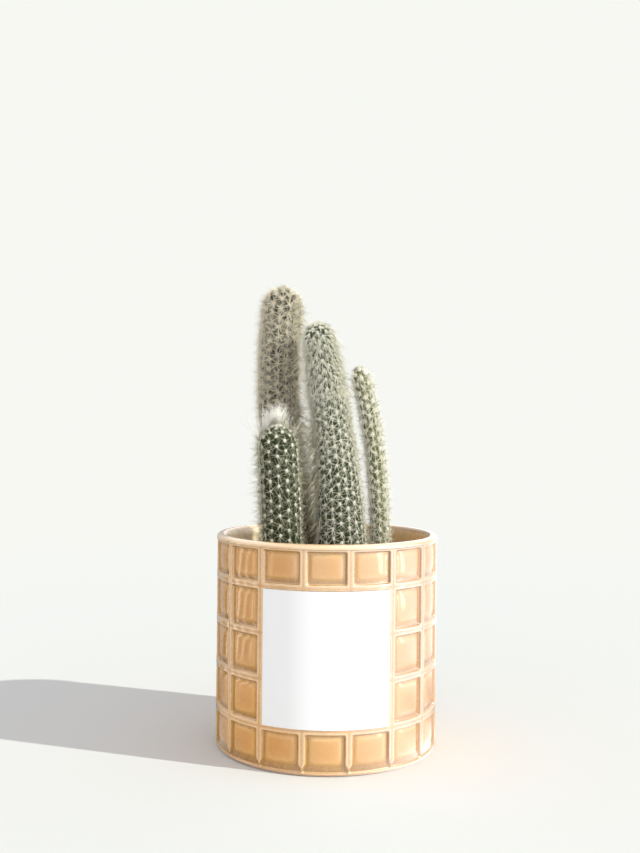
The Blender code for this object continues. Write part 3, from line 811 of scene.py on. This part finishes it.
def make_body(stem, made):
    """The ribbed column, ring by ring, closed at both ends."""
    bm = bmesh.new()
    spoke = bm.verts.layers.int.new("spoke")
    crest = bm.verts.layers.float.new("crest")
    count = stem.ribs * POINTS_A_RIB
    ring = bmesh.ops.create_circle(bm, segments=count, radius=1.0, cap_ends=True)["verts"]
    for index, vert in enumerate(ring):
        vert[spoke] = index
    edges = list(bm.edges)
    first, *rest = ring_distances(stem)
    place_ring(ring, crest, spoke, stem, first)
    for distance in rest:
        grown = bmesh.ops.extrude_edge_only(bm, edges=edges)["geom"]
        edges = [part for part in grown if isinstance(part, bmesh.types.BMEdge)]
        ring = [part for part in grown if isinstance(part, bmesh.types.BMVert)]
        place_ring(ring, crest, spoke, stem, distance)
    crown = bmesh.ops.contextual_create(bm, geom=edges)["faces"]
    bmesh.ops.poke(bm, faces=crown)["verts"][0].co = AXES[stem.name].tip
    bmesh.ops.recalc_face_normals(bm, faces=bm.faces)
    bm.verts.layers.int.remove(spoke)
    return piece(bm, stem.name.replace("stem_", "body_"), made, stem.name, stem.name)


def areoles(stem):
    """(rib, distance) of each areole. Small rings of them close the crown."""
    length = AXES[stem.name].length
    for rib in range(stem.ribs):
        distance = stem.pitch * first_areole(rib)
        while distance < length - stem.dome * BARE_TIP:
            yield rib, distance
            distance += stem.pitch * (1 - CROWDING * dome_share(stem, distance))
    for climb, skip in CROWN_RINGS:
        for rib in range(0, stem.ribs, skip):
            yield rib, length - stem.dome * (1 - climb)


def room(stem, point):
    """How far a point is from a stem's surface, or below 0 inside it."""
    axis = AXES[stem.name]
    _, index, gap = axis.near.find(point)
    return gap - crest_radius(stem, axis.lengths[index])


def is_free(stem, point):
    """Whether a spine of this stem may reach the point."""
    if point.z < SOIL_LEVEL + SPINE_CLEARANCE:
        return False
    return all(room(other, point) > SPINE_CLEARANCE for other in STEMS if other is not stem)


def template_mesh(name, shape):
    """A small mesh, smooth shaded, that is stamped many times into a piece."""
    bm = bmesh.new()
    shape(bm)
    bmesh.ops.recalc_face_normals(bm, faces=bm.faces)
    mesh = bpy.data.meshes.new(name)
    bm.to_mesh(mesh)
    bm.free()
    mesh.shade_smooth()
    return mesh


def grow(bm, template, place):
    """Stamps a template into a bmesh."""
    template.transform(place)
    bm.from_mesh(template, face_normals=False, vertex_normals=False)
    template.transform(place.inverted())


def bead_shape(bm):
    """A round bead of radius 1."""
    bmesh.ops.create_icosphere(bm, subdivisions=1, radius=1.0)


def spine_shape(bm):
    """One spine along +Z, of length and radius 1, with a joint in its middle."""
    bmesh.ops.create_cone(bm, cap_ends=True, segments=3, radius1=1.0, radius2=0.0, depth=1.0,
                          matrix=Matrix.Translation((0, 0, 0.5)))
    bmesh.ops.remove_doubles(bm, verts=bm.verts, dist=1e-4)
    shaft = [edge for edge in bm.edges if abs(edge.verts[0].co.z - edge.verts[1].co.z) > 0.5]
    bmesh.ops.subdivide_edges(bm, edges=shaft, cuts=1)
    for vert in bm.verts:
        if 0.1 < vert.co.z < 0.9:
            vert.co.x, vert.co.y = vert.co.x * 1.6, vert.co.y * 1.6


class SpineMaker:
    """Grows spines into a bmesh, from one template whose points are set for each spine."""

    def __init__(self):
        self.bm = bmesh.new()
        self.template = template_mesh("spine", spine_shape)
        self.rest = [vert.co.copy() for vert in self.template.vertices]
        self.along = self.template.attributes.new("along", "FLOAT", "POINT")
        self.along.data.foreach_set("value", [point.z for point in self.rest])
        self.tint = self.template.attributes.new("tint", "FLOAT", "POINT")

    def add(self, root, direction, length, radius, bend, tint):
        side = direction.orthogonal().normalized()
        other = direction.cross(side)
        places = []
        for point in self.rest:
            places.extend(
                root + (side * point.x + other * point.y) * radius
                + direction * (length * point.z) + bend * point.z**2
            )
        self.template.vertices.foreach_set("co", places)
        self.tint.data.foreach_set("value", [tint] * len(self.rest))
        self.bm.from_mesh(self.template, face_normals=False, vertex_normals=False)


def is_in_coat(coat, angle, share):
    """Whether a coat grows at an angle round the stem and at a share of its length."""
    first, last = coat.stretch
    side, half = coat.sector
    aside = abs(math.remainder(angle - math.radians(side), TURN))
    return first <= share <= last and aside <= math.radians(half)


def darkness(stem, part, distance, angle):
    """How dark an areole's spines or hairs are, from 0 to 1."""
    # painted shade on the sunlit side of the stem
    painted_side_shade = PAINTED_SHADE_SHARE * max(0.0, math.cos(angle - math.radians(PAINTED_SHADE_SIDE))) ** 1.5
    dark = max(dome_share(stem, distance) * DARK_CROWN.get(stem.name, 0), painted_side_shade)
    # painted shade on the hairs low down between the stems
    if part == "hairs":
        dark = max(dark, HAIR_SHADE * (1 - distance / AXES[stem.name].length / HAIR_SHADE_HEIGHT))
    return dark


def grow_tuft(maker, stem, coat, distance, angle, chance):
    """Grows a coat's spines at one areole."""
    axis = AXES[stem.name]
    _, along, _, _ = axis.frame(distance)
    out, across = axis.outward(distance, angle), axis.outward(distance, angle + math.pi / 2)
    into_dome = dome_share(stem, distance)
    level = (out * (1 - CROWN_TURN * into_dome) + along * into_dome).normalized()
    rise = (along * (1 - CROWN_TURN * into_dome) - out * into_dome).normalized()
    areole = stem_point(stem, distance, angle, crest_radius(stem, distance))
    comb = coat.comb + (coat.crown_comb - coat.comb) * into_dome
    dark = darkness(stem, coat.part, distance, angle)
    start = chance.uniform(0, TURN)
    for index in range(coat.count):
        tilt = math.radians(chance.uniform(*coat.tilt))
        round_it = start + TURN * (index + chance.uniform(-0.7, 0.7)) / coat.count
        direction = level * math.cos(tilt)
        direction += (rise * math.cos(round_it) + across * math.sin(round_it)) * math.sin(tilt)
        direction = (direction + rise * comb).normalized()
        if direction.dot(level) < LEAST_RISE:
            direction = (direction + level * LIFT).normalized()
        length = coat.length * chance.uniform(*SPREAD)
        if coat.part == "spines":
            length *= 1 - CROWN_SHRINK * into_dome
        bend = along * (coat.curl * length * (1 if comb > 0 else -1 - into_dome))
        bend += across * (length * chance.uniform(-SIDE_CURL, SIDE_CURL))
        while length > SPINE_SHORTEST and not is_free(stem, areole + direction * length + bend):
            length *= 0.8
            bend *= 0.8
        if length > SPINE_SHORTEST:
            root = areole - direction * SPINE_SUNK + across * chance.uniform(-ROOT_SPREAD, ROOT_SPREAD)
            root += rise * chance.uniform(-ROOT_SPREAD, ROOT_SPREAD)
            tint = chance.uniform(*PALE_TINTS) * (1 - dark) + chance.uniform(*DARK_TINTS) * dark
            maker.add(root, direction, length, coat.width / 2, bend, tint)


def grow_coat(maker, stem, coat, chance):
    """Grows one coat of spines or hairs on a stem."""
    for rib, distance in areoles(stem):
        angle = TURN * rib / stem.ribs
        if is_in_coat(coat, angle, distance / AXES[stem.name].length):
            grow_tuft(maker, stem, coat, distance, angle, chance)


def make_coats(stem, finishes):
    """A stem's spines and hairs, one piece for each part."""
    for part in sorted({coat.part for coat in COATS[stem.name]}):
        maker = SpineMaker()
        chance = random.Random(f"{SEED} {stem.name} {part}")
        for coat in COATS[stem.name]:
            if coat.part == part:
                grow_coat(maker, stem, coat, chance)
        piece(maker.bm, stem.name.replace("stem", part), finishes[part], stem.name)


def make_wool(stem, made):
    """A small pad of wool on each areole."""
    template = template_mesh("pad", bead_shape)
    chance = random.Random(f"{SEED} {stem.name} wool")
    bm = bmesh.new()
    for rib, distance in areoles(stem):
        axis = AXES[stem.name]
        angle = TURN * rib / stem.ribs
        size = WOOL_SIZE[stem.name] * chance.uniform(0.8, 1.2)
        out = axis.outward(distance, angle)
        turn = out.to_track_quat("Z", "Y").to_matrix().to_4x4()
        place = Matrix.Translation(stem_point(stem, distance, angle, crest_radius(stem, distance)))
        grow(bm, template, place @ turn @ Matrix.Diagonal((size, size * 1.35, size * 0.9, 1)))
    return piece(bm, stem.name.replace("stem", "wool"), made, stem.name)


# Studio

CAMERA_DISTANCE, CAMERA_HEIGHT = 0.64162, 0.20052
CAMERA_PITCH, CAMERA_ROLL, CAMERA_YAW = -0.00082, 0.00954, -0.0082
CAMERA_LENS = 42.17  # mm, for a 36 mm sensor along the picture's long side
BACKDROP = (0.930, 0.939, 0.896)
FAR = 10.0
KEY_TURN, KEY_RISE = 72, 29  # degrees: to the right of the front, and over the horizon
KEY_STRENGTH = 3.60
KEY_COLOUR = (0.970, 1.0, 0.950)
KEY_SOFTNESS = 0.8

# The light from all round, even but for soft boxes. A soft box is given by its middle, half width and
# soft edge, in degrees to the right of the front, and by how much it adds.
LIGHT = 0.74
LIGHT_COLOUR = (1.0, 0.99, 1.03)
LIGHT_PANELS = ((-75, 35, 25, 0.15), (150, 30, 25, 0.25), (5, 45, 35, 0.40))

# The glow that the glaze mirrors. A step is a change from one direction to another. A streak, bright
# or dark, has a soft box's numbers and the distance from the pot at which it starts.
GLOW_LEFT = 1.0
GLOW_STEPS = ((-50, -5, 1.6), (5, 50, 1.8), (92, 120, -2.7), (-100, -125, -0.5))
NEAR_GLOW = 0.5  # share of the glow that the floor near the pot has at the left
NEAR_STEPS = ((-20, 30, 0.42), (60, 90, -0.50))
NEAR_FADE = (0.12, 0.35)  # distances from the pot
STREAK_FADE = 0.15
LEAST_GLOW = 0.05
GLOW_STREAKS = (
    (57, 2.5, 2, 4.5, 0.5), (80, 2.5, 2, 4.0, 0.5), (-60, 2, 2, 0.9, 0.2), (-68, 2, 2, -0.6, 0.2),
    (-75, 1, 1.5, 1.5, 0.25), (-82, 2, 2, -0.6, 0.2), (-88, 1, 1.5, 1.1, 0.2), (-94, 2, 1.5, -0.7, 0.2),
    (-100, 1, 1.5, 1.6, 0.2), (-107, 2, 1.5, -0.9, 0.2), (-114, 1, 1.5, 1.4, 0.2), (-122, 3, 2, -0.9, 0.2),
)
GLOW_OVERHEAD = 1.5
GLOW_COLOUR = (1.0, 0.99, 0.96)
FLOOR_COLOUR = (0.648, 0.656, 0.634)
FLOOR_FADE = (0.45, 1.2)  # where the floor turns into the backdrop, without a horizon


def make_camera():
    forward = Vector((math.sin(CAMERA_YAW) * math.cos(CAMERA_PITCH),
                      math.cos(CAMERA_YAW) * math.cos(CAMERA_PITCH), -math.sin(CAMERA_PITCH)))
    right = Vector((math.cos(CAMERA_YAW), -math.sin(CAMERA_YAW), 0))
    up = right.cross(forward)
    tilted_right = right * math.cos(CAMERA_ROLL) + up * math.sin(CAMERA_ROLL)
    tilted_up = up * math.cos(CAMERA_ROLL) - right * math.sin(CAMERA_ROLL)
    data = bpy.data.cameras.new("camera")
    data.sensor_width = 36
    data.lens = CAMERA_LENS
    camera = bpy.data.objects.new("camera", data)
    turn = Matrix((tilted_right, tilted_up, -forward)).transposed().to_4x4()
    camera.matrix_world = Matrix.Translation((0, -CAMERA_DISTANCE, CAMERA_HEIGHT)) @ turn
    bpy.context.scene.collection.objects.link(camera)
    bpy.context.scene.camera = camera


def band(tree, turn, middle, half, edge):
    """1 in a band of directions and 0 outside it, with soft edges."""
    aside = maths(tree, "ABSOLUTE", maths(tree, "SUBTRACT", turn, middle))
    return ease(tree, aside, half + edge, half)


def glow_group():
    """How bright the studio shows in the glaze. Turn is in degrees to the right of the front, and
    Reach is the distance from the pot: near it there is only the floor, and windows stand further off."""
    tree, ends, out = group("studio glow", {"Turn": 0.0, "Reach": FAR}, {"Glow": "Float"})
    turn, reach = ends.outputs["Turn"], ends.outputs["Reach"]
    glow, near = GLOW_LEFT, NEAR_GLOW
    for start, end, change in GLOW_STEPS:
        glow = maths(tree, "MULTIPLY_ADD", ease(tree, turn, start, end), change, glow)
    for start, end, change in NEAR_STEPS:
        near = maths(tree, "MULTIPLY_ADD", ease(tree, turn, start, end), change, near)
    glow = maths(tree, "MULTIPLY", glow, blend(tree, ease(tree, reach, *NEAR_FADE), near, 1.0))
    for middle, half, edge, change, start in GLOW_STREAKS:
        beyond = ease(tree, reach, start, start + STREAK_FADE)
        streak = maths(tree, "MULTIPLY", band(tree, turn, middle, half, edge), beyond)
        glow = maths(tree, "MULTIPLY_ADD", streak, change, glow)
    tree.links.new(maths(tree, "MAXIMUM", glow, LEAST_GLOW), out.inputs["Glow"])
    return tree


def turn_of(tree, place):
    """The direction of a place round the pot, in degrees to the right of the front."""
    turn = maths(tree, "ARCTAN2", place[0], maths(tree, "MULTIPLY", place[1], -1.0))
    return maths(tree, "MULTIPLY", turn, 180 / math.pi)


def make_floor(glow):
    bm = bmesh.new()
    bmesh.ops.create_grid(bm, x_segments=1, y_segments=1, size=60.0)
    mesh = bpy.data.meshes.new("floor")
    bm.to_mesh(mesh)
    bm.free()
    made, tree, shader = new_material("pale floor")
    shader.inputs["Base Color"].default_value = (*FLOOR_COLOUR, 1.0)
    shader.inputs["Roughness"].default_value = 1.0
    shader.inputs["Specular IOR Level"].default_value = 0.0
    point = add(tree, "TexCoord").outputs["Object"]
    place = add(tree, "SeparateXYZ", {0: point}).outputs
    reach = add(tree, "VectorMath", {0: point}, operation="LENGTH").outputs["Value"]
    strength = use(tree, glow, Turn=turn_of(tree, place), Reach=reach).outputs["Glow"]
    shown = add(tree, "Emission", {"Color": GLOW_COLOUR, "Strength": strength})
    away = add(tree, "Emission", {"Color": BACKDROP, "Strength": 1.0})
    path = add(tree, "LightPath").outputs
    far = maths(tree, "MULTIPLY", ease(tree, reach, *FLOOR_FADE), path["Is Camera Ray"])
    faded = add(tree, "MixShader", {0: far, 1: shader.outputs[0], 2: away.outputs[0]})
    both = add(tree, "MixShader", {0: path["Is Glossy Ray"], 1: faded.outputs[0], 2: shown.outputs[0]})
    tree.links.new(both.outputs[0], tree.nodes["Material Output"].inputs["Surface"])
    mesh.materials.append(made)
    floor = bpy.data.objects.new("floor", mesh)
    bpy.context.scene.collection.objects.link(floor)
    floor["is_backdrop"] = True


def make_key_light():
    data = bpy.data.lights.new("key", "SUN")
    data.energy = KEY_STRENGTH
    data.angle = math.radians(KEY_SOFTNESS)
    data.color = KEY_COLOUR
    key = bpy.data.objects.new("key", data)
    turn, rise = math.radians(KEY_TURN), math.radians(KEY_RISE)
    towards = Vector((math.sin(turn) * math.cos(rise), -math.cos(turn) * math.cos(rise), math.sin(rise)))
    key.matrix_world = towards.to_track_quat("Z", "Y").to_matrix().to_4x4()
    bpy.context.scene.collection.objects.link(key)


def make_surroundings(glow):
    """A pale studio: even where the camera looks, with soft boxes for the light that falls on the
    plant, and with the glow that the glaze mirrors."""
    world = bpy.data.worlds.new("studio")
    bpy.context.scene.world = world
    world.use_nodes = True
    tree = world.node_tree
    seen = tree.nodes["Background"]
    seen.inputs["Color"].default_value = (*BACKDROP, 1.0)
    place = add(tree, "SeparateXYZ", {0: add(tree, "TexCoord").outputs["Generated"]}).outputs
    turn = turn_of(tree, place)
    level = maths(tree, "MULTIPLY", ease(tree, place[2], -0.15, 0.05), ease(tree, place[2], 0.95, 0.6))
    light = LIGHT
    for middle, half, edge, change in LIGHT_PANELS:
        panel = maths(tree, "MULTIPLY", band(tree, turn, middle, half, edge), level)
        light = maths(tree, "MULTIPLY_ADD", panel, change, light)
    lit = add(tree, "Background", {"Color": LIGHT_COLOUR, "Strength": light})
    overhead = maths(tree, "MULTIPLY", ease(tree, place[2], 0.2, 0.7), GLOW_OVERHEAD)
    mirrored = maths(tree, "ADD", use(tree, glow, Turn=turn, Reach=FAR).outputs["Glow"], overhead)
    shown = add(tree, "Background", {"Color": GLOW_COLOUR, "Strength": mirrored})
    path = add(tree, "LightPath").outputs
    either = add(tree, "MixShader", {0: path["Is Glossy Ray"], 1: lit.outputs[0], 2: shown.outputs[0]})
    both = add(tree, "MixShader", {0: path["Is Camera Ray"], 1: either.outputs[0], 2: seen.outputs[0]})
    tree.links.new(both.outputs[0], tree.nodes["World Output"].inputs["Surface"])


def main():
    view = bpy.context.scene.view_settings
    view.view_transform = "Standard"
    view.look = "None"
    make_camera()
    glow = glow_group()
    make_floor(glow)
    make_key_light()
    make_surroundings(glow)
    make_pot()
    make_label()
    make_soil()
    chance = random.Random(SEED)
    for name, bits, count, sizes, flatness, dark, light in BITS:
        scatter(name, grit(bits, dark, light), count, sizes, flatness, chance)
    wool = wool_finish()
    for stem in STEMS:
        which = stem.name.replace("stem_", "").replace("_", " ") + " stem"
        make_body(stem, skin("skin of the " + which, *SKIN_COLOURS[stem.name]))
        make_wool(stem, wool)
        finishes = {"spines": spine_finish("spines of the " + which, *SPINE_COLOURS[stem.name])}
        if stem.name in HAIR_COLOURS:
            finishes["hairs"] = spine_finish("hairs of the " + which, *HAIR_COLOURS[stem.name])
        make_coats(stem, finishes)


main()
boxes = {"cad": CAD_BOX, "visual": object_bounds()}
{name: [list(corner) for corner in box] for name, box in boxes.items()}
